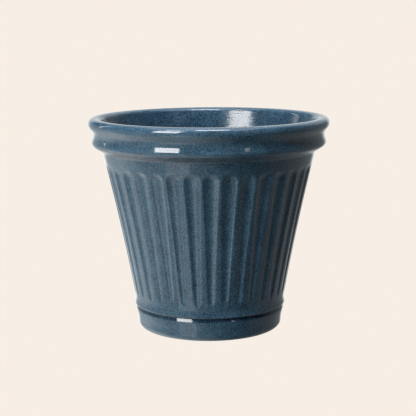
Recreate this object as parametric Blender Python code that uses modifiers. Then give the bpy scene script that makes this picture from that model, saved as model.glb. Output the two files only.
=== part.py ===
"""Glazed terracotta pot with a rolled rim, a fluted flared wall and a plinth foot.

Two solids make the pot: the fired clay body, and the thin glass coat fused over it. The frame
has its origin in the middle of the base, on the ground, with +Z up the pot's axis. Metres.
"""

import math

import bpy

# Overall sizes
RIM_DIAMETER = 0.240
HEIGHT = 0.2126
PLINTH_DIAMETER = 0.1492

# Rim: a rolled bead, a cove under it, then a smaller bead with a sloping underside
RIM_ROLL_RADIUS = 0.0056
RIM_ROLL_DROP = 0.0003
RIM_TOP_FLAT = 0.0024
COVE_DEPTH = 0.0049
COVE_RADIUS = 0.0080
COVE_BELOW_TOP = 0.0169
BEAD_SETBACK = 0.0032
BEAD_RADIUS = 0.0045
BEAD_BELOW_COVE = 0.0070
NECK_SETBACK = 0.0145
NECK_BELOW_BEAD = 0.0112
NECK_FILLET = 0.0035

# Wall: a flared cone, slightly hollow from the neck down to the lip above the plinth
WALL_THICKNESS = 0.0090
WALL_HOLLOW = 0.00125
THROAT_BELOW_TOP = 0.0366

# Foot: an out-turned lip, a groove, a sloping shoulder, a plain plinth and the bare standing ring
WALL_END_ABOVE_LIP = 0.0048
LIP_FLARE = 0.0010
LIP_RADIUS = 0.0016
LIP_OVERHANG = 0.0014
LIP_ABOVE_PLINTH = 0.0057
GROOVE_RADIUS = 0.0007
GROOVE_DEPTH = 0.0014
PLINTH_EDGE = 0.0014
PLINTH_HEIGHT = 0.0205
PLINTH_TAPER = 0.0022
FOOT_ROUND = 0.0065
BARE_FOOT = 0.0006
RING_WIDTH = 0.0110
RECESS_DEPTH = 0.0035

# Floor and drain hole
FLOOR_HEIGHT = 0.0130
FLOOR_FILLET = 0.0080
HOLE_DIAMETER = 0.0230
GLAZE_HOLE_SETBACK = 0.0010

# Flutes: scooped channels with a round head, which get narrower and shallower downwards
FLUTE_COUNT = 36
RIDGE_TOP = 0.0027
RIDGE_BOTTOM = 0.0072
FLUTE_DEPTH_TOP = 0.0025
FLUTE_DEPTH_BOTTOM = 0.0011
FLUTE_BELOW_NECK = 0.0098
FLUTE_ABOVE_WALL_END = 0.0050
FLUTE_TAIL = 0.0080
FLUTE_HEAD_ANGLES = (60.0,)
FLUTE_TAIL_ANGLES = (60.0,)

# Glass coat, and the gap that keeps it a separate solid from the clay
GLAZE = 0.0008
FIT_GAP = 0.0003
GLAZE_UNDER_FOOT = 0.0006

# Angles of the section's faces, in degrees from outwards
ROLL_UNDER_START = -3.0
ROLL_UNDER_END = -38.0
COVE_TOP_FACE = 33.0
BEAD_TOP_FACE = 17.0
UNDERSIDE_FACE = 57.0
WALL_FACE = 13.5
THROAT_FACE = 18.0
LIP_TOP_FACE = 8.0
LIP_UNDER_FACE = -60.0
GROOVE_TOP_FACE = 125.0
GROOVE_LOW_FACE = 204.0
PLINTH_TOP_FACE = 24.0
PLINTH_FACE = 5.0

# How finely curves are divided
CURVE_STEPS = 2
TIGHT_STEPS = 1
WALL_STEPS = 2
FLUTE_STEPS = 2
FACE_SIDES = 12
CORE_SIDES = 10
CORE_OVERRUN = 0.0050
SCOOP_LIFT = 0.0010
MERGE = 0.00001

RIM_RADIUS = RIM_DIAMETER / 2
PLINTH_RADIUS = PLINTH_DIAMETER / 2
COVE_Z = HEIGHT - COVE_BELOW_TOP
BEAD_Z = COVE_Z - BEAD_BELOW_COVE
NECK_RADIUS = RIM_RADIUS - NECK_SETBACK
NECK_Z = BEAD_Z - NECK_BELOW_BEAD
LIP_MAX_RADIUS = PLINTH_RADIUS + LIP_OVERHANG
LIP_Z = PLINTH_HEIGHT + LIP_ABOVE_PLINTH
WALL_END_Z = LIP_Z + WALL_END_ABOVE_LIP
WALL_END_RADIUS = LIP_MAX_RADIUS - LIP_FLARE
FOOT_CENTRE = (PLINTH_RADIUS - PLINTH_TAPER - FOOT_ROUND, FOOT_ROUND + BARE_FOOT)
CLAY_INSET = GLAZE + FIT_GAP
PITCH_ANGLE = 2 * math.pi / FLUTE_COUNT


def arc(centre, radius, start, stop, steps):
    """Points (r, z) on a circle, from one angle to another, in degrees from outwards."""
    points = []
    for i in range(steps + 1):
        angle = math.radians(start + (stop - start) * i / steps)
        points.append((centre[0] + radius * math.cos(angle), centre[1] + radius * math.sin(angle)))
    return points


def wall_radius(z):
    """Outer radius of the flared wall at a height."""
    t = (NECK_Z - z) / (NECK_Z - WALL_END_Z)
    return NECK_RADIUS + (WALL_END_RADIUS - NECK_RADIUS) * t - 4 * WALL_HOLLOW * t * (1 - t)


def wall_point(z, outwards):
    """A point (r, z) at a distance from the wall's outer face, square to it."""
    step = 0.0005
    slope = (wall_radius(z + step) - wall_radius(z - step)) / (2 * step)
    length = math.hypot(1.0, slope)
    return wall_radius(z) + outwards / length, z - outwards * slope / length


def outer_side(inset):
    """The section's outside from the crest down to the foot, set in from the glaze face."""
    roll = (RIM_RADIUS - RIM_ROLL_RADIUS, HEIGHT - RIM_ROLL_RADIUS)
    points = arc(roll, RIM_ROLL_RADIUS - inset, 90, 0, CURVE_STEPS)
    roll_low = (roll[0], roll[1] - RIM_ROLL_DROP)
    points += arc(roll_low, RIM_ROLL_RADIUS - inset, ROLL_UNDER_START, ROLL_UNDER_END, TIGHT_STEPS)
    cove = (RIM_RADIUS - COVE_DEPTH + COVE_RADIUS, COVE_Z)
    points += arc(cove, COVE_RADIUS + inset, 180 - COVE_TOP_FACE, 180 + BEAD_TOP_FACE, CURVE_STEPS)
    bead = (RIM_RADIUS - BEAD_SETBACK - BEAD_RADIUS, BEAD_Z)
    points += arc(bead, BEAD_RADIUS - inset, BEAD_TOP_FACE, -UNDERSIDE_FACE, CURVE_STEPS)
    lean = math.radians(WALL_FACE)
    neck = (NECK_RADIUS + NECK_FILLET * math.cos(lean), NECK_Z - NECK_FILLET * math.sin(lean))
    points += arc(neck, NECK_FILLET + inset, 180 - UNDERSIDE_FACE, 180 - WALL_FACE, TIGHT_STEPS)
    for i in range(1, WALL_STEPS + 1):
        points.append(wall_point(NECK_Z + (WALL_END_Z - NECK_Z) * i / WALL_STEPS, -inset))
    lip = (LIP_MAX_RADIUS - LIP_RADIUS, LIP_Z)
    points += arc(lip, LIP_RADIUS - inset, LIP_TOP_FACE, LIP_UNDER_FACE, TIGHT_STEPS)
    groove = (PLINTH_RADIUS - GROOVE_DEPTH + GROOVE_RADIUS, LIP_Z - LIP_RADIUS - GROOVE_RADIUS)
    points += arc(groove, GROOVE_RADIUS + inset, GROOVE_TOP_FACE, GROOVE_LOW_FACE, TIGHT_STEPS)
    edge = (PLINTH_RADIUS - PLINTH_EDGE, PLINTH_HEIGHT)
    points += arc(edge, PLINTH_EDGE - inset, PLINTH_TOP_FACE, PLINTH_FACE, TIGHT_STEPS)
    points += arc(FOOT_CENTRE, FOOT_ROUND - inset, PLINTH_FACE, -90, CURVE_STEPS)
    return points


def inner_side(inset):
    """The section's inside from the floor up to the crest, set in from the glaze face."""
    fillet_z = FLOOR_HEIGHT + FLOOR_FILLET
    fillet = (wall_radius(fillet_z) - WALL_THICKNESS - FLOOR_FILLET, fillet_z)
    points = arc(fillet, FLOOR_FILLET + inset, -90, -WALL_FACE, TIGHT_STEPS)
    throat_z = HEIGHT - THROAT_BELOW_TOP
    for z in ((fillet_z + throat_z) / 2, throat_z):
        points.append((wall_radius(z) - WALL_THICKNESS + inset, z))
    roll = (RIM_RADIUS - RIM_ROLL_RADIUS - RIM_TOP_FLAT, HEIGHT - RIM_ROLL_RADIUS)
    points += arc(roll, RIM_ROLL_RADIUS - inset, 180 - THROAT_FACE, 90, CURVE_STEPS)
    return points


def turned(name, section, closed, steps, collection):
    """A solid turned from a section (r, z) that goes up the inside and down the outside."""
    mesh = bpy.data.meshes.new(name)
    edges = [(i, i + 1) for i in range(len(section) - 1)]
    if closed:
        edges.append((len(section) - 1, 0))
    mesh.from_pydata([(r, 0.0, z) for r, z in section], edges, [])
    solid = bpy.data.objects.new(name, mesh)
    collection.objects.link(solid)
    screw = solid.modifiers.new("turn", "SCREW")
    screw.axis = "Z"
    screw.steps = steps
    screw.render_steps = steps
    screw.use_merge_vertices = True
    screw.merge_threshold = MERGE
    screw.use_smooth_shade = True
    return solid


def flute_marks():
    """Heights down one flute, each with the width of the channel there."""
    head_z = NECK_Z - FLUTE_BELOW_NECK
    half_head = (PITCH_ANGLE * wall_radius(head_z) - RIDGE_TOP) / 2
    full_z = head_z - half_head
    tail_z = WALL_END_Z + FLUTE_ABOVE_WALL_END
    last_z = tail_z + FLUTE_TAIL
    marks = []
    for angle in FLUTE_HEAD_ANGLES:
        turn = math.radians(angle)
        marks.append((full_z + half_head * math.sin(turn), 0.0, math.cos(turn)))
    for i in range(FLUTE_STEPS + 1):
        t = i / FLUTE_STEPS
        marks.append((full_z + (last_z - full_z) * t, t, 1.0))
    for angle in FLUTE_TAIL_ANGLES:
        turn = math.radians(angle)
        marks.append((last_z - FLUTE_TAIL * math.sin(turn), 1.0, math.cos(turn)))
    widths = []
    for z, t, share in marks:
        ridge = RIDGE_TOP + (RIDGE_BOTTOM - RIDGE_TOP) * t
        widths.append((z, (PITCH_ANGLE * wall_radius(z) - ridge) * share))
    return [(head_z, 0.0), *widths, (tail_z, 0.0)]


def axis_distance(width, depth):
    """How far outside the wall a round scoop's axis lies to cut this width and depth."""
    return (width**2 / 4 - depth**2) / (2 * depth)


def flute_cutters(name, inset, sides):
    """A straight, spindle-shaped scoop for each flute, grown by the inset."""
    marks = flute_marks()
    head_z, head_width = marks[len(FLUTE_HEAD_ANGLES) + 1]
    tail_z, tail_width = marks[-len(FLUTE_TAIL_ANGLES) - 2]
    head = wall_point(head_z, axis_distance(head_width, FLUTE_DEPTH_TOP))
    tail = wall_point(tail_z, axis_distance(tail_width, FLUTE_DEPTH_BOTTOM))
    lean = math.atan2(head[0] - tail[0], head[1] - tail[1])
    outline = []
    for z, width in marks:
        out, up = wall_radius(z) - tail[0], z - tail[1]
        along = out * math.sin(lean) + up * math.cos(lean)
        away = up * math.sin(lean) - out * math.cos(lean)
        radius = math.hypot(away, width / 2) if width else away - SCOOP_LIFT
        outline.append((radius + inset, along))
    section = [(0.0, outline[0][1]), *outline, (0.0, outline[-1][1])]
    cutters = bpy.data.collections.new(name)
    cutter_collection.children.link(cutters)
    for i in range(FLUTE_COUNT):
        turn = i * PITCH_ANGLE
        scoop = turned(f"{name}_{i:02d}", section, False, sides, cutters)
        scoop.location = (tail[0] * math.cos(turn), tail[0] * math.sin(turn), tail[1])
        scoop.rotation_euler = (0.0, lean, turn)
        scoop.display_type = "WIRE"
        scoop.hide_render = True
    return cutters


def cut_flutes(solid, inset, sides):
    """Scoops the flutes out of a solid whose face is set in by the inset."""
    cut = solid.modifiers.new("flutes", "BOOLEAN")
    cut.operation = "DIFFERENCE"
    cut.operand_type = "COLLECTION"
    cut.collection = flute_cutters(solid.name + "_flutes", inset, sides)
    cut.solver = "EXACT"


def material(name, colour, roughness, metallic):
    """A plain finish, with its colour in linear RGB."""
    finish = bpy.data.materials.new(name)
    finish.use_nodes = True
    shader = finish.node_tree.nodes["Principled BSDF"]
    shader.inputs["Base Color"].default_value = (*colour, 1.0)
    shader.inputs["Roughness"].default_value = roughness
    shader.inputs["Metallic"].default_value = metallic
    return finish


def clay_body():
    """The fired terracotta pot, set in under the glaze, with its bare standing ring."""
    ring_outer = FOOT_CENTRE[0] - GLAZE_UNDER_FOOT - FIT_GAP
    ring_inner = ring_outer - RING_WIDTH
    hole = HOLE_DIAMETER / 2
    section = [(hole, FLOOR_HEIGHT - CLAY_INSET)]
    section += inner_side(CLAY_INSET)
    section += outer_side(CLAY_INSET)
    section += [(ring_outer, BARE_FOOT + CLAY_INSET), (ring_outer, 0.0), (ring_inner, 0.0)]
    section += [(ring_inner - RECESS_DEPTH, RECESS_DEPTH), (hole, RECESS_DEPTH)]
    body = turned("clay_body", section, True, FLUTE_COUNT, pot)
    body.rotation_euler.z = PITCH_ANGLE / 2
    cut_flutes(body, CLAY_INSET, CORE_SIDES)
    body.data.materials.append(material("fired_terracotta", (0.47, 0.19, 0.10), 0.85, 0.0))
    return body


def glaze_core():
    """Everything behind the glass coat, run on below the foot and through the drain hole."""
    section = [(0.0, FLOOR_HEIGHT - GLAZE)]
    section += inner_side(GLAZE)
    section += outer_side(GLAZE)
    edge = FOOT_CENTRE[0] - GLAZE_UNDER_FOOT
    section += [(edge, BARE_FOOT + GLAZE), (edge, -CORE_OVERRUN), (0.0, -CORE_OVERRUN)]
    core = turned("glaze_core", section, False, FLUTE_COUNT, cutter_collection)
    core.rotation_euler.z = PITCH_ANGLE / 2
    core.display_type = "WIRE"
    core.hide_render = True
    cut_flutes(core, GLAZE, CORE_SIDES)
    return core


def glaze_coat():
    """The blue glass coat over the outside, the rim, the inside and the floor."""
    hole = HOLE_DIAMETER / 2 + GLAZE_HOLE_SETBACK
    section = [(hole, FLOOR_HEIGHT)]
    section += inner_side(0.0)
    section += outer_side(0.0)
    section += [(hole, BARE_FOOT)]
    coat = turned("glaze_coat", section, True, 2 * FLUTE_COUNT, pot)
    cut_flutes(coat, 0.0, FACE_SIDES)
    hollow = coat.modifiers.new("hollow", "BOOLEAN")
    hollow.operation = "DIFFERENCE"
    hollow.object = glaze_core()
    hollow.solver = "EXACT"
    coat.data.materials.append(material("blue_glaze", (0.055, 0.115, 0.19), 0.18, 0.0))
    return coat


for leftover in list(bpy.data.objects):
    bpy.data.objects.remove(leftover)
pot = bpy.data.collections.new("terracotta_pot")
cutter_collection = bpy.data.collections.new("pot_cutters")
bpy.context.scene.collection.children.link(pot)
bpy.context.scene.collection.children.link(cutter_collection)
clay_body()
glaze_coat()
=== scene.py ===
# %% [markdown]
# # A fluted plant pot in glazed terracotta
#
# The real pot is red clay, cast with a rolled rim, a second bead under it, thirty-six scooped flutes
# and a plain plinth foot. It is then dipped in a dark blue glaze that melts to glass in the kiln.
# Two pieces carry the look: the glass coat that shows nearly everywhere, and the bare clay that
# shows only on the standing ring, under the base and in the drain hole.
#
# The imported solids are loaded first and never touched. They fix where the pot stands and how big
# it is, and every new piece takes its size from them.

# %% Load the fixed frame
import math

import bpy
from mathutils import Matrix, Vector


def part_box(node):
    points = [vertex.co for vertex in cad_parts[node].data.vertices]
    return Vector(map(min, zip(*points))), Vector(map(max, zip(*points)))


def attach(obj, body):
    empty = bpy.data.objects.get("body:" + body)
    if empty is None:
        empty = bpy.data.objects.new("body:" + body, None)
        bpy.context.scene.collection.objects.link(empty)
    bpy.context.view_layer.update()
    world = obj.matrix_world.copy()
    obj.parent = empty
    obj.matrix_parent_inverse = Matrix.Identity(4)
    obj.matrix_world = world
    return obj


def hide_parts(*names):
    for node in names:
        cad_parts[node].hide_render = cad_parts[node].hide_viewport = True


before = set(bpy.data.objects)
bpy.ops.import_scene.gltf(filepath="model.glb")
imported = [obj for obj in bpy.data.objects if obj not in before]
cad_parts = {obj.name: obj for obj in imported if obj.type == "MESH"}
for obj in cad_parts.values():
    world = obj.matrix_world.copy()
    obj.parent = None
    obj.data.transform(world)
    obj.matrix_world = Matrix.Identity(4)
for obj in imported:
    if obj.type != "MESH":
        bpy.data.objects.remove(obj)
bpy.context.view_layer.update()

coat_low, coat_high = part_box("glaze_coat")
MM = 0.001
RIM_RADIUS = coat_high.x
CREST = coat_high.z
COAT_FOOT = coat_low.z
print(f"rim {2 * RIM_RADIUS / MM:.0f} mm across, crest at {CREST / MM:.1f} mm")

# %% [markdown]
# ## The section of the pot
#
# A turned shape is known by its section, the line that its wall makes when it is cut down the
# middle. It could be traced point by point, but a potter's section is really a few arcs joined by
# straight runs, so each arc is written as a centre, a radius and the directions of its two ends.
#
# The sizes come first, from the crest down. The rim is a roll with a flat top, a cove under it and
# a second bead. Directions are in degrees, where 0 points outwards and 90 points up.

# %% Sizes of the rim
ROLL_RADIUS = 5.6 * MM
ROLL_DROP = 0.3 * MM
ROLL_FLAT = 2.4 * MM
ROLL_UNDER = -38
ROLL_INSIDE_ENDS = (162, 96)
COVE_RADIUS = 8.0 * MM
COVE_DEPTH = 4.9 * MM
COVE_Z = CREST - 16.9 * MM
COVE_ENDS = (147, 197)
BEAD_RADIUS = 4.5 * MM
BEAD_SETBACK = 3.2 * MM
BEAD_Z = COVE_Z - 7.0 * MM
BEAD_ENDS = (17, -57)
NECK_RADIUS = RIM_RADIUS - 14.5 * MM
NECK_FILLET = 3.5 * MM
NECK_Z = BEAD_Z - 11.2 * MM
NECK_ENDS = (123, 166)
print(f"neck {2 * NECK_RADIUS / MM:.0f} mm across, {(CREST - NECK_Z) / MM:.1f} mm under the crest")

# %% [markdown]
# ## The foot of the pot
#
# The wall runs down to an out-turned lip. Under the lip are a narrow groove, a small sloping
# shoulder and a plinth that tapers a little and rounds under at the ground. `PLINTH_WAIST` is one
# more point on that taper: how much of the taper is used up, at how much of the height.

# %% Sizes of the foot
PLINTH_RADIUS = 74.6 * MM
PLINTH_Z = 20.5 * MM
PLINTH_EDGE = 1.4 * MM
PLINTH_EDGE_ENDS = (24, 0)
PLINTH_TAPER = 2.2 * MM
PLINTH_WAIST = (0.65, 0.7)
LIP_MAX_RADIUS = PLINTH_RADIUS + 1.4 * MM
LIP_RADIUS = 1.6 * MM
LIP_Z = PLINTH_Z + 5.7 * MM
LIP_ENDS = (0, -60)
GROOVE_RADIUS = 0.7 * MM
GROOVE_DEPTH = 1.4 * MM
GROOVE_ENDS = (125, 204)
FOOT_ROUND = 6.5 * MM
FOOT_ENDS = (5, -90)
FOOT_CENTRE = (PLINTH_RADIUS - PLINTH_TAPER - FOOT_ROUND, FOOT_ROUND + COAT_FOOT)
print(f"plinth {2 * PLINTH_RADIUS / MM:.1f} mm across, lip at {LIP_Z / MM:.1f} mm")

# %% [markdown]
# ## Arcs, and the flared wall
#
# One helper gives the points of an arc. The wall between the neck and the lip is not straight: it
# hollows by a millimetre or so, as leaning clay does, and flares out again just above the lip. A
# curve could be bent to it by eye, but a short formula also tells the flutes where the wall is.

# %% Draw an arc and find the wall
WALL = 9.0 * MM
WALL_HOLLOW = 1.25 * MM
WALL_END_Z = LIP_Z + 4.8 * MM
WALL_END_RADIUS = LIP_MAX_RADIUS - 1.0 * MM
FLARE_TOP_Z = WALL_END_Z + 3.0 * MM


def arc(centre, radius, start, stop, steps):
    """Points (r, z) on a circle, from one direction to another, in degrees from outwards."""
    points = []
    for i in range(steps + 1):
        turn = math.radians(start + (stop - start) * i / steps)
        points.append((centre[0] + radius * math.cos(turn), centre[1] + radius * math.sin(turn)))
    return points


def wall_radius(z):
    """Radius of the flared wall at a height, before the flutes are pressed."""
    t = (NECK_Z - z) / (NECK_Z - WALL_END_Z)
    return NECK_RADIUS + (WALL_END_RADIUS - NECK_RADIUS) * t - 4 * WALL_HOLLOW * t * (1 - t)


def flared_radius(z):
    """The wall's radius with the flare that carries it out to the lip."""
    s = max(0.0, (FLARE_TOP_Z - z) / (FLARE_TOP_Z - LIP_Z))
    return wall_radius(z) + (LIP_MAX_RADIUS - wall_radius(LIP_Z)) * s * s


neck_and_lip = (wall_radius(NECK_Z) / MM, flared_radius(LIP_Z) / MM)
print("wall {:.1f} mm from the axis at the neck, {:.1f} at the lip".format(*neck_and_lip))

# %% [markdown]
# ## Where the flutes lie
#
# A flute is a shallow channel with a round head. Each one fills most of a ten degree pitch at the
# top and leaves a thin ridge, and it narrows downwards until it runs out above the lip. These few
# values say where the head and the tail are.

# %% Sizes of the flutes
FLUTE_COUNT = 36
PITCH = 2 * math.pi / FLUTE_COUNT
RIDGE_TOP = 2.7 * MM
RIDGE_BOTTOM = 7.2 * MM
FLUTE_DEPTH_TOP = 2.5 * MM
FLUTE_DEPTH_BOTTOM = 1.1 * MM
HEAD_Z = NECK_Z - 9.8 * MM
TAIL_Z = WALL_END_Z + 5.0 * MM
TAIL_LENGTH = 8.0 * MM
HEAD_HALF = (PITCH * wall_radius(HEAD_Z) - RIDGE_TOP) / 2
FULL_Z = HEAD_Z - HEAD_HALF
LAST_Z = TAIL_Z + TAIL_LENGTH
print(f"flutes run from {TAIL_Z / MM:.0f} to {HEAD_Z / MM:.0f} mm above the ground")

# %% [markdown]
# ## Where the wall needs rings
#
# Even rings all the way down would be simple, but they would either blur the round heads or waste
# faces on the plain parts. So the rings lie close where the heads and the tails curve, and wide
# where nothing changes.

# %% Choose the heights of the wall's rings
FIRST_RING_Z = NECK_Z - 3.0 * MM
OVER_HEAD_Z = HEAD_Z + 1.5 * MM
UNDER_TAIL_Z = TAIL_Z - 1.0 * MM


def evenly(start, stop, steps):
    """Heights from start towards stop, with the last one left out."""
    return [start + (stop - start) * i / steps for i in range(steps)]


def ring_heights():
    """Heights of the wall's rings from under the neck down to the lip."""
    band = evenly(FIRST_RING_Z, OVER_HEAD_Z, 2)
    head = evenly(OVER_HEAD_Z, FULL_Z, 11)
    body = evenly(FULL_Z, LAST_Z, 9)
    tail = evenly(LAST_Z, UNDER_TAIL_Z, 7)
    flare = evenly(UNDER_TAIL_Z, LIP_Z, 5)
    return band + head + body + tail + flare


print(f"the wall has {len(ring_heights())} rings")

# %% [markdown]
# ## The outside line of the section
#
# The line runs from the crest over the roll, the cove, the bead, the neck, the wall, the lip and
# the groove to the foot. It can also be drawn a little way inside itself: the hollow arcs then
# grow and the round ones shrink. That gives the clay under the glaze without a second drawing.

# %% Draw the outside line
def outer_line(inset):
    """The outside of the section from the crest down to the foot, drawn a little way inside."""
    roll = (RIM_RADIUS - ROLL_RADIUS, CREST - ROLL_RADIUS)
    points = arc(roll, ROLL_RADIUS - inset, 90, 0, steps=8)
    points += arc((roll[0], roll[1] - ROLL_DROP), ROLL_RADIUS - inset, 0, ROLL_UNDER, steps=3)
    cove = (RIM_RADIUS - COVE_DEPTH + COVE_RADIUS, COVE_Z)
    points += arc(cove, COVE_RADIUS + inset, *COVE_ENDS, steps=6)
    bead = (RIM_RADIUS - BEAD_SETBACK - BEAD_RADIUS, BEAD_Z)
    points += arc(bead, BEAD_RADIUS - inset, *BEAD_ENDS, steps=7)
    neck = (NECK_RADIUS + NECK_FILLET, NECK_Z)
    points += arc(neck, NECK_FILLET + inset, *NECK_ENDS, steps=4)
    points += [(flared_radius(z) - inset, z) for z in ring_heights()]
    lip = (LIP_MAX_RADIUS - LIP_RADIUS, LIP_Z)
    points += arc(lip, LIP_RADIUS - inset, *LIP_ENDS, steps=4)
    groove = (PLINTH_RADIUS - GROOVE_DEPTH + GROOVE_RADIUS, LIP_Z - LIP_RADIUS - GROOVE_RADIUS)
    points += arc(groove, GROOVE_RADIUS + inset, *GROOVE_ENDS, steps=4)
    edge = (PLINTH_RADIUS - PLINTH_EDGE, PLINTH_Z)
    points += arc(edge, PLINTH_EDGE - inset, *PLINTH_EDGE_ENDS, steps=3)
    taper_there, height_there = PLINTH_WAIST
    points.append((PLINTH_RADIUS - taper_there * PLINTH_TAPER - inset, height_there * PLINTH_Z))
    points += arc(FOOT_CENTRE, FOOT_ROUND - inset, *FOOT_ENDS, steps=7)
    return points


print(f"the outside line has {len(outer_line(0.0))} points")

# %% [markdown]
# ## The inside line of the section
#
# The inside has no flutes or beads, because it is the plain core of the mould: a floor, a rounded
# corner, a wall one thickness inside the outer one, and the inner half of the rolled rim.

# %% Draw the inside line
FLOOR_Z = 13.0 * MM
FLOOR_FILLET = 8.0 * MM
FLOOR_FILLET_ENDS = (-90, -13)
INNER_WALL_START = 12.0 * MM
THROAT_Z = CREST - 36.6 * MM


def inner_line(inset):
    """The inside of the section from the floor up to the crest."""
    fillet_z = FLOOR_Z + FLOOR_FILLET
    fillet = (wall_radius(fillet_z) - WALL - FLOOR_FILLET, fillet_z)
    points = arc(fillet, FLOOR_FILLET + inset, *FLOOR_FILLET_ENDS, steps=6)
    for z in evenly(fillet_z + INNER_WALL_START, THROAT_Z, 4) + [THROAT_Z]:
        points.append((wall_radius(z) - WALL + inset, z))
    roll = (RIM_RADIUS - ROLL_RADIUS - ROLL_FLAT, CREST - ROLL_RADIUS)
    points += arc(roll, ROLL_RADIUS - inset, *ROLL_INSIDE_ENDS, steps=6)
    return points


print(f"the inside line has {len(inner_line(0.0))} points")

# %% [markdown]
# ## The glaze's own line
#
# The glaze is one coat over the inside, the rim and the outside. It starts with a thin rounded edge
# just short of the drain hole and stops just above the ground, where the potter wipes the foot so
# that the pot doesn't stick to the kiln shelf.

# %% Join the lines of the glaze
COAT_HOLE_RADIUS = 12.5 * MM
COAT_EDGE = ((0.0, -0.6 * MM), (0.3 * MM, -0.1 * MM), (1.2 * MM, 0.0))
COAT_UNDER_FOOT = 0.6 * MM

coat_section = [(COAT_HOLE_RADIUS + out, FLOOR_Z + up) for out, up in COAT_EDGE]
coat_section += inner_line(0.0) + outer_line(0.0)
coat_section += [(FOOT_CENTRE[0] - COAT_UNDER_FOOT, COAT_FOOT)]
print(f"the glaze face has {len(coat_section)} rings")

# %% [markdown]
# ## Drawing a section with the extrude tool
#
# A lathe shape could be a Screw modifier on a curve. Here it is made the way it is done by hand,
# because each point then stays where it was put: a plane is merged to a single vertex at the first
# point, and that vertex is extruded from point to point along the section.

# %% Draw a chain of edges
SEED_SIZE = 1.0 * MM


def draw_chain(name, section):
    """A chain of edges: one vertex, extruded from point to point of the section."""
    bpy.ops.object.select_all(action="DESELECT")
    r, z = section[0]
    bpy.ops.mesh.primitive_plane_add(size=SEED_SIZE, location=(r, 0.0, z))
    piece = bpy.context.object
    piece.name = name
    piece.data.name = name
    bpy.ops.object.transform_apply(location=True, rotation=True, scale=True)
    bpy.ops.object.mode_set(mode="EDIT")
    bpy.ops.mesh.select_all(action="SELECT")
    bpy.ops.mesh.merge(type="CENTER")
    for start, end in zip(section, section[1:]):
        step = (end[0] - start[0], 0.0, end[1] - start[1])
        bpy.ops.mesh.extrude_vertices_move(TRANSFORM_OT_translate={"value": step})
    bpy.ops.object.mode_set(mode="OBJECT")
    return piece


coat = draw_chain("glaze", coat_section)
print(f"{coat.name}: a chain of {len(coat.data.vertices)} vertices")

# %% [markdown]
# ## Spinning the chain round the axis
#
# The chain is spun once round, and a full spin joins its last column to its first. A chain that
# ends where it began, as the clay's does, still has two rings in one place, so the doubles are
# merged. A spin can come out with its faces turned inwards, so the normals are made to agree and
# are then checked at the crest, which must face up. Twelve columns for each flute leave enough of
# them to follow its sides.

# %% Spin the glaze
COLUMNS_PER_FLUTE = 12
MERGE_WITHIN = 0.01 * MM


def turn(piece):
    """Spins the chain round the pot's axis into a closed seam with its faces outwards."""
    bpy.ops.object.mode_set(mode="EDIT")
    bpy.ops.mesh.select_all(action="SELECT")
    columns = FLUTE_COUNT * COLUMNS_PER_FLUTE
    bpy.ops.mesh.spin(steps=columns, angle=2 * math.pi, center=(0, 0, 0), axis=(0, 0, 1))
    bpy.ops.mesh.select_all(action="SELECT")
    bpy.ops.mesh.remove_doubles(threshold=MERGE_WITHIN)
    bpy.ops.mesh.normals_make_consistent(inside=False)
    bpy.ops.object.mode_set(mode="OBJECT")
    highest = max(piece.data.polygons, key=lambda face: face.center.z)
    if highest.normal.z < 0:
        bpy.ops.object.mode_set(mode="EDIT")
        bpy.ops.mesh.flip_normals()
        bpy.ops.object.mode_set(mode="OBJECT")
    print(f"{piece.name}: {len(piece.data.polygons)} faces after the spin")


turn(coat)

# %% [markdown]
# ## The shape of one flute
#
# The flutes could be cut with thirty-six scoops and a Boolean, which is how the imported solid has
# them. A Boolean leaves knife edges and stray triangles, though, and glaze rounds every edge. So
# the spun grid itself is shaped. For that, two helpers say how wide a flute is at a height and how
# far a vertex lies from the middle of its flute.

# %% Measure a flute
def share_down(z):
    """How far down the straight part of a flute a height lies, from 0 to 1."""
    return min(1.0, max(0.0, (FULL_Z - z) / (FULL_Z - LAST_Z)))


def half_width(z):
    """Half of a flute's width at a height."""
    z = min(FULL_Z, max(LAST_Z, z))
    ridge = RIDGE_TOP + (RIDGE_BOTTOM - RIDGE_TOP) * share_down(z)
    return (PITCH * wall_radius(z) - ridge) / 2


def place_in_pitch(x, y):
    """How far a vertex lies from the middle of its flute: 1 or -1 is the middle of a ridge."""
    turns = math.atan2(y, x) / PITCH
    return 2 * (turns - round(turns))


widths = [2 * half_width(z) / MM for z in (FULL_Z, LAST_Z)]
print("a flute is {:.1f} mm wide at the top and {:.1f} at the tail".format(*widths))

# %% [markdown]
# ## Sliding the columns to the flutes' sides
#
# A flute narrows on its way down while the grid's columns stay evenly spaced, so a column would
# cross its edge in steps. Each column is therefore slid sideways: eight of the twelve share the
# flute's own width, closer towards its edges, and the rest share the ridge. The slide fades out
# above the head and below the tail.

# %% Slide the columns
EDGE_PLACE = 8 / COLUMNS_PER_FLUTE
SLIDE_FADE = 6.0 * MM


def slid_angle(place, z):
    """The angle from the flute's middle that a column is slid to."""
    side = half_width(z) / wall_radius(z)
    inside = min(1.0, abs(place) / EDGE_PLACE)
    outside = max(0.0, (abs(place) - EDGE_PLACE) / (1 - EDGE_PLACE))
    angle = side * math.sin(math.pi / 2 * inside) + (PITCH / 2 - side) * outside
    return math.copysign(angle, place)


def on_wall(vertex):
    """Whether a vertex lies on the outside of the flared wall."""
    r = math.hypot(vertex.co.x, vertex.co.y)
    return LIP_Z < vertex.co.z < NECK_Z and r > wall_radius(vertex.co.z) - WALL / 2


def slide_columns(piece):
    """Moves the wall's columns sideways so that they follow the flutes."""
    moved = list(filter(on_wall, piece.data.vertices))
    for vertex in moved:
        x, y, z = vertex.co
        above = max(0.0, z - HEAD_Z, TAIL_Z - z)
        fade = max(0.0, 1 - above / SLIDE_FADE)
        place = place_in_pitch(x, y)
        change = (slid_angle(place, z) - place * PITCH / 2) * fade
        vertex.co = Matrix.Rotation(change, 3, "Z") @ vertex.co
    print(f"{piece.name}: {len(moved)} vertices slid")


slide_columns(coat)

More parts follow.
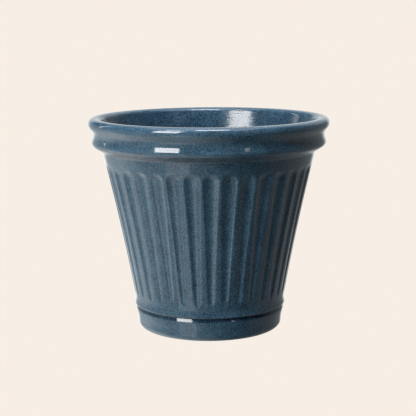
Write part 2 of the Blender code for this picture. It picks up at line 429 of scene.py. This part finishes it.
# %% [markdown]
# ## Pressing the flutes in
#
# Each vertex of the wall gets a weight that says how deep it lies in its flute: a round scoop
# across, a round head, and a tail that runs out. A Displace modifier then presses the wall in by
# that weight. The weight is softened at the flute's edge, as glaze softens it.

# %% Press the flutes
EDGE_SOFTNESS = 0.12


def flute_share(vertex):
    """How deep a vertex lies, as a share of the deepest flute."""
    x, y, z = vertex.co
    aside = abs(place_in_pitch(x, y)) * PITCH / 2 * math.hypot(x, y)
    if z > FULL_Z:
        away = math.hypot(aside, z - FULL_Z) / HEAD_HALF
    elif z < LAST_Z:
        away = math.hypot(aside / half_width(z), (LAST_Z - z) / TAIL_LENGTH)
    else:
        away = aside / half_width(z)
    dip = 1 - away * away
    soft = (dip + math.hypot(dip, EDGE_SOFTNESS)) / 2
    depth = FLUTE_DEPTH_TOP + (FLUTE_DEPTH_BOTTOM - FLUTE_DEPTH_TOP) * share_down(z)
    return min(1.0, soft * depth / FLUTE_DEPTH_TOP)


def press_flutes(piece):
    """Weights the wall by depth and presses it in with a Displace modifier."""
    group = piece.vertex_groups.new(name="flute_depth")
    for vertex in filter(on_wall, piece.data.vertices):
        group.add([vertex.index], flute_share(vertex), "REPLACE")
    press = piece.modifiers.new("flutes", "DISPLACE")
    press.vertex_group = group.name
    press.mid_level = 0.0
    press.strength = -FLUTE_DEPTH_TOP
    bpy.ops.object.select_all(action="DESELECT")
    piece.select_set(True)
    bpy.context.view_layer.objects.active = piece
    bpy.ops.object.modifier_apply(modifier=press.name)
    print(f"{piece.name}: {FLUTE_COUNT} flutes, {FLUTE_DEPTH_TOP / MM:.1f} mm deep at the top")


press_flutes(coat)

# %% [markdown]
# ## Giving the glaze its thickness
#
# So far the glaze is only a face. Solidify gives it its thickness of under a millimetre, inwards,
# and closes the two edges where the coat stops: just above the ground and just short of the drain
# hole. Even offset keeps the coat as thick round the tight curves as on the wall.

# %% Thicken the glaze
GLAZE = 0.8 * MM

thicken = coat.modifiers.new("thickness", "SOLIDIFY")
thicken.thickness = GLAZE
thicken.offset = -1.0
thicken.use_even_offset = True
thicken.use_quality_normals = True
bpy.ops.object.modifier_apply(modifier=thicken.name)
bpy.ops.object.shade_smooth()
print(f"{coat.name}: {len(coat.data.polygons)} faces with its back")

# %% [markdown]
# ## The line of the clay under the glaze
#
# The clay has the same section, set in by the glaze and a hair of room, and it closes on itself
# round the standing ring, the recess under the base and the drain hole. Those are the only places
# where it shows, so their edges get the small roundings that a damp sponge leaves.

# %% Join the lines of the clay
CLAY_INSET = 1.1 * MM
HOLE_RADIUS = 11.5 * MM
RING_WIDTH = 11.0 * MM
RING_SETBACK = 0.3 * MM
RECESS_DEPTH = 3.5 * MM
SPONGED = 0.8 * MM
SPONGED_BULGE = 0.3 * SPONGED
RECESS_ROUND = 2 * SPONGED

ring_outer = FOOT_CENTRE[0] - COAT_UNDER_FOOT - RING_SETBACK
ring_inner = ring_outer - RING_WIDTH
clay_top = FLOOR_Z - CLAY_INSET
clay_section = [(HOLE_RADIUS, clay_top - SPONGED)]
clay_section += [(HOLE_RADIUS + SPONGED_BULGE, clay_top - SPONGED_BULGE)]
clay_section += [(HOLE_RADIUS + SPONGED, clay_top)]
clay_section += inner_line(CLAY_INSET) + outer_line(CLAY_INSET)
clay_section += [(ring_outer, COAT_FOOT + CLAY_INSET)]
clay_section += arc((ring_outer - SPONGED, SPONGED), SPONGED, 0, -90, steps=4)
clay_section += arc((ring_inner + SPONGED, SPONGED), SPONGED, -90, -135, steps=2)
recess_corner = (ring_inner - RECESS_DEPTH, RECESS_DEPTH - RECESS_ROUND)
clay_section += arc(recess_corner, RECESS_ROUND, 45, 90, steps=3)
clay_section += arc((HOLE_RADIUS + SPONGED, RECESS_DEPTH + SPONGED), SPONGED, -90, -180, steps=3)
clay_section += [clay_section[0]]
print(f"the clay has {len(clay_section) - 1} rings")

# %% [markdown]
# ## Turning the clay
#
# The clay goes through the same steps as the glaze. It needs no Solidify, because its line is
# already closed. The flutes are pressed into it as well, since the glaze only follows them.

# %% Turn the clay
clay = draw_chain("fired_clay", clay_section)
turn(clay)
slide_columns(clay)
press_flutes(clay)
bpy.ops.object.shade_smooth()

# %% [markdown]
# ## Colours and nodes
#
# Colours are given as screen values, and one function turns them into the linear light
# that the renderer works in. One more adds a node with its settings and its links: `operands` fill
# a node's sockets in their order, and the rest are given by name. The size of a pattern is given in
# millimetres on the real pot.

# %% Helpers for materials
def linear(hex_colour):
    """A screen colour such as "4a6f86" as linear red, green, blue and alpha."""
    channels = [int(hex_colour[i : i + 2], 16) / 255 for i in (0, 2, 4)]
    return [c / 12.92 if c <= 0.04045 else ((c + 0.055) / 1.055) ** 2.4 for c in channels] + [1.0]


def add_node(tree, kind, settings=None, operands=(), **inputs):
    """A node with its settings, its socket values and its links from other nodes' outputs."""
    node = tree.nodes.new(kind)
    for name, value in (settings or {}).items():
        setattr(node, name, value)
    named = [(name.replace("_", " "), value) for name, value in inputs.items()]
    for key, value in [*enumerate(operands), *named]:
        socket = node.inputs[key]
        if isinstance(value, bpy.types.NodeSocket):
            tree.links.new(value, socket)
        else:
            socket.default_value = value
    return node


def blank_material(name):
    """A new material with an empty node tree."""
    finish = bpy.data.materials.new(name)
    finish.use_nodes = True
    finish.node_tree.nodes.clear()
    return finish, finish.node_tree


def per_metre(millimetres):
    """The texture scale that makes one cell of the pattern this many millimetres."""
    return 1 / (millimetres * MM)


print(f"mid grey 808080 is {linear('808080')[0]:.3f} in linear light")

# %% [markdown]
# ## Blue glaze: flecks and clouds
#
# This is a reactive stoneware glaze on red clay, a glass coloured by cobalt and iron. It boils and
# settles in the kiln, so lighter flecks float over a darker navy, and that gives the eye depth and
# a denim-like grain. Two noises make it: one for the flecks and a wide faint one for the clouds, so
# that the flecks gather and thin out. The real flecks are about half a millimetre across, too fine
# to show from here, so they are drawn at 1.2 mm.

# %% Make the flecks and clouds
FLECK_MM = 1.2
CLOUD_MM = 14.0
CLOUD_SHARE = 0.2

blue, glaze_tree = blank_material("blue_glaze")
place = add_node(glaze_tree, "ShaderNodeTexCoord").outputs["Object"]
fleck = add_node(
    glaze_tree, "ShaderNodeTexNoise", Vector=place, Scale=per_metre(FLECK_MM), Detail=3.0, Roughness=0.6
).outputs["Fac"]
cloud = add_node(
    glaze_tree, "ShaderNodeTexNoise", Vector=place, Scale=per_metre(CLOUD_MM), Detail=2.0, Roughness=0.5
).outputs["Fac"]
grain = add_node(
    glaze_tree, "ShaderNodeMath", {"operation": "MULTIPLY_ADD"}, (cloud, CLOUD_SHARE, fleck)
).outputs[0]
print(f"flecks of {FLECK_MM} mm in clouds of {CLOUD_MM:.0f} mm")

# %% [markdown]
# ## Blue glaze: painted shade inside and in the groove
#
# Painted shade: the glaze colour is darkened inside the pot and in the groove under the lip, where
# shade falls. The inner wall is found where the surface faces the pot's own axis: its normal and its
# place then point against each other, and their dot product is less than nought by the distance to
# the axis, in metres. The groove is found by its height alone.

# %% Find the places of painted shade
FACING_AXIS = -0.06
GROOVE_TOP = (LIP_Z - 0.4 * MM, LIP_Z - 1.8 * MM)
GROOVE_FOOT = (PLINTH_Z - 0.2 * MM, PLINTH_Z + 0.8 * MM)

normal = add_node(glaze_tree, "ShaderNodeNewGeometry").outputs["Normal"]
facing = add_node(
    glaze_tree, "ShaderNodeVectorMath", {"operation": "DOT_PRODUCT"}, (normal, place)
).outputs["Value"]
inside = add_node(
    glaze_tree, "ShaderNodeMapRange", Value=facing, From_Min=0.0, From_Max=FACING_AXIS
).outputs["Result"]
height = add_node(glaze_tree, "ShaderNodeSeparateXYZ", Vector=place).outputs["Z"]
edges = [
    add_node(
        glaze_tree, "ShaderNodeMapRange", {"interpolation_type": "SMOOTHSTEP"},
        Value=height, From_Min=start, From_Max=stop,
    ).outputs["Result"]
    for start, stop in (GROOVE_TOP, GROOVE_FOOT)
]
# Painted shade: this mask darkens the glaze colour in the groove band and on the inner wall, where shade
# falls.
groove = add_node(glaze_tree, "ShaderNodeMath", {"operation": "MULTIPLY"}, edges).outputs[0]
painted_shade = add_node(glaze_tree, "ShaderNodeMath", {"operation": "MAXIMUM"}, (groove, inside)).outputs[0]
print(f"glaze pools in a groove {(GROOVE_TOP[0] - GROOVE_FOOT[0]) / MM:.1f} mm high")

# %% [markdown]
# ## Blue glaze: its colour
#
# The grain picks a colour between navy and a greyed pale blue, and the painted shade inside the pot
# and in the groove pushes it towards navy. The two colours are less bright than the pot looks in a
# room, because the room's reflection in the glass is added on top.

# %% Colour the glaze
NAVY, NAVY_BELOW = "142738", 0.42
PALE_BLUE, PALE_ABOVE = "456273", 0.76
PAINTED_SHADE_SHIFT = -0.15

# Painted shade: the shade mask shifts the grain towards navy by this amount.
shade = add_node(
    glaze_tree, "ShaderNodeMath", {"operation": "MULTIPLY_ADD"}, (painted_shade, PAINTED_SHADE_SHIFT, grain)
).outputs[0]
blues = add_node(glaze_tree, "ShaderNodeValToRGB", Fac=shade)
for stop, position, colour in zip(
    blues.color_ramp.elements, (NAVY_BELOW, PALE_ABOVE), (NAVY, PALE_BLUE)
):
    stop.position = position
    stop.color = linear(colour)
print(f"glaze from #{NAVY} to #{PALE_BLUE}")

# %% [markdown]
# ## Blue glaze: its surface
#
# A glaze is never as flat as window glass. It has slow ripples and a fine orange peel, both
# hundredths of a millimetre high, which make a lamp's edge waver. Inside, the turned clay leaves
# level streaks, long round the pot and thin up and down, and they stretch a reflection upwards.
# They are noise that a Mapping node has squeezed flat.

# %% Ripple the glaze
RIPPLE_MM = 5.0
RIPPLE_HEIGHT = 0.04 * MM
PEEL_HEIGHT = 0.02 * MM
STREAK_MM = 1.6
STREAK_LENGTH_MM = 14.0
STREAK_HEIGHT = 0.5 * MM

ripple = add_node(
    glaze_tree, "ShaderNodeTexNoise", Vector=place, Scale=per_metre(RIPPLE_MM), Detail=2.0
).outputs["Fac"]
wavy = add_node(
    glaze_tree, "ShaderNodeBump", Strength=0.5, Distance=RIPPLE_HEIGHT, Height=ripple
).outputs["Normal"]
peel = add_node(
    glaze_tree, "ShaderNodeBump", Strength=0.5, Distance=PEEL_HEIGHT, Height=fleck, Normal=wavy
).outputs["Normal"]
flattened = add_node(
    glaze_tree, "ShaderNodeMapping", Vector=place, Scale=(1.0, 1.0, STREAK_LENGTH_MM / STREAK_MM)
).outputs[0]
streak = add_node(
    glaze_tree, "ShaderNodeTexNoise", Vector=flattened, Scale=per_metre(STREAK_LENGTH_MM), Detail=2.0
).outputs["Fac"]
streak_inside = add_node(
    glaze_tree, "ShaderNodeMath", {"operation": "MULTIPLY"}, (streak, inside)
).outputs[0]
turned = add_node(
    glaze_tree, "ShaderNodeBump", Strength=1.0, Distance=STREAK_HEIGHT, Height=streak_inside, Normal=peel
).outputs["Normal"]
print(f"ripples {RIPPLE_HEIGHT / MM} mm high, streaks {STREAK_MM} by {STREAK_LENGTH_MM:.0f} mm")

# %% [markdown]
# ## Blue glaze: its gloss
#
# Glass reflects about four hundredths of the light straight on, which is an IOR of 1.5. The outside
# is glossy, with sharp lamps in it. The inside is more satin, because the thick glaze there cools
# with fine crystals on its face.

# %% Finish the blue glaze
GLASS_IOR = 1.5
GLOSSY_OUTSIDE = 0.07
SATIN_INSIDE = 0.24

gloss = add_node(
    glaze_tree, "ShaderNodeMapRange", Value=inside, To_Min=GLOSSY_OUTSIDE, To_Max=SATIN_INSIDE
).outputs["Result"]
glass = add_node(
    glaze_tree, "ShaderNodeBsdfPrincipled",
    Base_Color=blues.outputs["Color"], Roughness=gloss, IOR=GLASS_IOR, Normal=turned,
)
add_node(glaze_tree, "ShaderNodeOutputMaterial", Surface=glass.outputs[0])
coat.data.materials.clear()
coat.data.materials.append(blue)
print(f"{blue.name}: {len(glaze_tree.nodes)} nodes")

# %% [markdown]
# ## Fired terracotta
#
# This is unglazed red earthenware, fired and left bare. It is matt and slightly gritty, with paler
# and darker grains of grog, so the eye reads it as dry beside the glass. One noise gives both the
# colour and the roughness of the grains. Real grit is a few tenths of a millimetre, too fine to
# show from here, so it is drawn at 0.9 mm.

# %% Make the fired terracotta
GRIT_MM = 0.9
GRIT_HEIGHT = 0.15 * MM
DARK_CLAY, DARK_BELOW = "8f4a2e", 0.3
PALE_CLAY, PALE_CLAY_ABOVE = "c27a52", 0.7
MATT = 0.88
CLAY_IOR = 1.45

terracotta, clay_tree = blank_material("fired_terracotta")
clay_place = add_node(clay_tree, "ShaderNodeTexCoord").outputs["Object"]
grit = add_node(
    clay_tree, "ShaderNodeTexNoise", Vector=clay_place, Scale=per_metre(GRIT_MM), Detail=4.0, Roughness=0.7
).outputs["Fac"]
reds = add_node(clay_tree, "ShaderNodeValToRGB", Fac=grit)
for stop, position, colour in zip(
    reds.color_ramp.elements, (DARK_BELOW, PALE_CLAY_ABOVE), (DARK_CLAY, PALE_CLAY)
):
    stop.position = position
    stop.color = linear(colour)
gritty = add_node(
    clay_tree, "ShaderNodeBump", Strength=0.8, Distance=GRIT_HEIGHT, Height=grit
).outputs["Normal"]
bare_clay = add_node(
    clay_tree, "ShaderNodeBsdfPrincipled",
    Base_Color=reds.outputs["Color"], Roughness=MATT, IOR=CLAY_IOR, Normal=gritty,
)
add_node(clay_tree, "ShaderNodeOutputMaterial", Surface=bare_clay.outputs[0])
clay.data.materials.clear()
clay.data.materials.append(terracotta)
print(f"{terracotta.name}: {len(clay_tree.nodes)} nodes, grit of {GRIT_MM} mm")

# %% [markdown]
# ## Putting the pieces on the frame
#
# Both pieces ride on the pot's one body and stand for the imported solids, which are then hidden.

# %% Place the pieces
for piece, node, slot in ((coat, "glaze_coat", "blue_glaze"), (clay, "clay_body", "fired_terracotta")):
    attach(piece, "root")
    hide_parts(node)
    print(f"{piece.name} stands for {node}")

# %% [markdown]
# ## The floor
#
# The pot stands on a flat sheet of cream paper, and the backdrop behind it is the same cream, so there
# is no line where the floor ends. Paper lit evenly from every side glows with one flat colour, so the
# floor simply gives off that colour, and it is kept out of the glaze's reflections, which the room below
# provides.

# %% Build the floor
CREAM = "f7eee5"
FLOOR_RADIUS = 4.0

bpy.ops.object.select_all(action="DESELECT")
bpy.ops.mesh.primitive_circle_add(
    vertices=96, radius=FLOOR_RADIUS, fill_type="NGON", location=(0, 0, 0)
)
floor = bpy.context.object
floor.name = "studio_floor"
paper, paper_tree = blank_material("studio_paper")
paper_glow = add_node(paper_tree, "ShaderNodeEmission", Color=linear(CREAM), Strength=1.0)
add_node(paper_tree, "ShaderNodeOutputMaterial", Surface=paper_glow.outputs[0])
floor.data.materials.append(paper)
floor.visible_diffuse = False
floor.visible_glossy = False
floor.visible_shadow = False
print(f"floor {floor.dimensions.x:.0f} m across")

# %% [markdown]
# ## Directions round the pot
#
# What a glaze shows is mostly the room around it, so the room is laid out by direction as seen from
# the pot. Azimuth 0 is towards the viewer and grows to the right, and elevation is up from the
# level.

# %% Point in a direction
VIEW_AZ = -91.0


def direction(azimuth, elevation):
    """A direction from the pot: azimuth 0 is towards the camera and grows to the right."""
    turn, rise = math.radians(VIEW_AZ + azimuth), math.radians(elevation)
    return Vector((math.cos(rise) * math.cos(turn), math.cos(rise) * math.sin(turn), math.sin(rise)))


print("towards the viewer:", [round(part, 2) for part in direction(0.0, 0.0)])

# %% [markdown]
# ## The room
#
# The room is bright on the left, where a window wall and the lit table are, and dark on the right,
# so that every flute has a bright side and a dark side. It could be an image of a studio, but a few
# soft glows give the same with nothing to load. Each one grows with the cosine of the angle between
# a ray and the glow's middle, and they add up. A row holds the middle's azimuth and elevation, the
# cosines where the glow starts and where it is full, and its brightness outside and inside.

# %% Glow from the room
GLOWS = {
    "left": ((-70.0, -38.0), (0.3, 0.85), (0.01, 0.72)),
    "left_back": ((-140.0, -30.0), (0.6, 1.0), (0.0, 0.9)),
    "behind": ((180.0, 0.0), (0.84, 0.96), (0.0, 0.85)),
    "above": ((180.0, 50.0), (0.82, 0.97), (0.0, 0.9)),
    "below": ((-100.0, -62.0), (0.65, 1.0), (0.0, 0.7)),
    "right": ((125.0, -25.0), (0.4, 1.0), (0.01, 0.38)),
    "right_high": ((146.0, 36.0), (0.87, 0.99), (0.0, 0.75)),
}

world = bpy.data.worlds.new("studio")
bpy.context.scene.world = world
world.use_nodes = True
room = world.node_tree
room.nodes.clear()
ray = add_node(room, "ShaderNodeTexCoord").outputs["Generated"]
total = 0.0
for middle, (edge_cosine, full_cosine), (dim, bright) in GLOWS.values():
    nearness = add_node(
        room, "ShaderNodeVectorMath", {"operation": "DOT_PRODUCT"}, (ray, direction(*middle))
    ).outputs["Value"]
    glow = add_node(
        room, "ShaderNodeMapRange", {"interpolation_type": "SMOOTHSTEP"},
        Value=nearness, From_Min=edge_cosine, From_Max=full_cosine, To_Min=dim, To_Max=bright,
    ).outputs["Result"]
    total = add_node(room, "ShaderNodeMath", {"operation": "ADD"}, (total, glow)).outputs[0]
print("glows in the room:", ", ".join(GLOWS))

# %% [markdown]
# ## The backdrop
#
# Only the glaze sees the room. The camera sees plain cream, so a Light Path node chooses between
# the two. The Standard view shows a screen colour just as it was chosen.

# %% Hang the backdrop
COOL_WHITE = "eef4f5"

indirect = add_node(room, "ShaderNodeBackground", Color=linear(COOL_WHITE), Strength=total)
backdrop = add_node(room, "ShaderNodeBackground", Color=linear(CREAM), Strength=1.0)
seen = add_node(room, "ShaderNodeLightPath").outputs["Is Camera Ray"]
mixed = add_node(
    room, "ShaderNodeMixShader", operands=(seen, indirect.outputs[0], backdrop.outputs[0])
)
add_node(room, "ShaderNodeOutputWorld", Surface=mixed.outputs[0])
bpy.context.scene.view_settings.view_transform = "Standard"
print(f"backdrop #{CREAM}, room tinted #{COOL_WHITE}")

# %% [markdown]
# ## The lamps
#
# A softbox is a lamp behind a sheet of white cloth. Each one is placed by the direction it lies in
# as seen from the rim, by how large it looks from there, and by how bright its cloth is, because
# those are what its reflection shows. The key makes the bright marks down the front left, the
# lamp on the table lights the foot, the two high ones draw the lines along the rim, and the ceiling
# lights the shoulders softly. The fill lamp leaves one small glint at the right, and the strip
# behind edges the left side.

# %% Hang the softboxes
LAMP_DISTANCE = 2.0
PIVOT = Vector((0.0, 0.0, 0.8 * CREST))


def softbox(name, azimuth, elevation, wide, high, brightness, tint="ffffff"):
    """A rectangular lamp: its direction and apparent size are in degrees."""
    lamp = bpy.data.lights.new(name, "AREA")
    lamp.shape = "RECTANGLE"
    lamp.size = 2 * LAMP_DISTANCE * math.tan(math.radians(wide / 2))
    lamp.size_y = 2 * LAMP_DISTANCE * math.tan(math.radians(high / 2))
    lamp.energy = brightness * math.pi * lamp.size * lamp.size_y
    lamp.color = linear(tint)[:3]
    hung = bpy.data.objects.new(name, lamp)
    bpy.context.scene.collection.objects.link(hung)
    towards = direction(azimuth, elevation)
    hung.location = PIVOT + LAMP_DISTANCE * towards
    hung.rotation_euler = towards.to_track_quat("Z", "Y").to_euler()
    hung.visible_camera = False


softbox("key_softbox", -41.0, 31.0, wide=23.0, high=30.0, brightness=16.0)
softbox("key_on_table", -36.0, -36.0, wide=24.0, high=26.0, brightness=0.9)
softbox("overhead_softbox", 8.0, 74.0, wide=20.0, high=8.0, brightness=26.0)
softbox("high_left_softbox", -50.0, 60.0, wide=14.0, high=6.0, brightness=16.0)
softbox("ceiling", 0.0, 84.0, wide=56.0, high=56.0, brightness=2.6, tint="e6ecff")
softbox("fill_lamp", 37.0, 25.0, wide=4.0, high=7.0, brightness=3.5)
softbox("back_strip", -121.0, 20.0, wide=6.0, high=24.0, brightness=3.2)
print(f"{len(bpy.data.lights)} lamps around the pot")

# %% [markdown]
# ## The camera
#
# A long lens from more than a metre away keeps the pot's sides nearly straight and still lets the
# eye look a little way into it. The distance and the height are multiples of the rim's radius, so
# the view stays the same for a pot of another size.

# %% Place the camera
CAMERA_DISTANCE = 9.717 * RIM_RADIUS
CAMERA_HEIGHT = CREST + 0.8702 * RIM_RADIUS
CAMERA_TURN = math.radians(-1.0)
LOOK_DOWN = 9.58
CAMERA_TILT = math.radians(90 - LOOK_DOWN)
CAMERA_ROLL = math.radians(-0.4)
AIM_LEFT = math.radians(0.06)
LENS_MM = 101.5
SENSOR_MM = 36.0

camera_data = bpy.data.cameras.new("camera")
camera_data.lens = LENS_MM
camera_data.sensor_width = SENSOR_MM
camera = bpy.data.objects.new("camera", camera_data)
bpy.context.scene.collection.objects.link(camera)
camera.location = (
    CAMERA_DISTANCE * math.sin(CAMERA_TURN), -CAMERA_DISTANCE * math.cos(CAMERA_TURN), CAMERA_HEIGHT
)
aim = Matrix.Rotation(CAMERA_TURN + AIM_LEFT, 3, "Z") @ Matrix.Rotation(CAMERA_TILT, 3, "X")
camera.rotation_euler = (aim @ Matrix.Rotation(CAMERA_ROLL, 3, "Z")).to_euler()
bpy.context.scene.camera = camera
print(f"camera {CAMERA_DISTANCE:.2f} m away, {CAMERA_HEIGHT:.2f} m up")
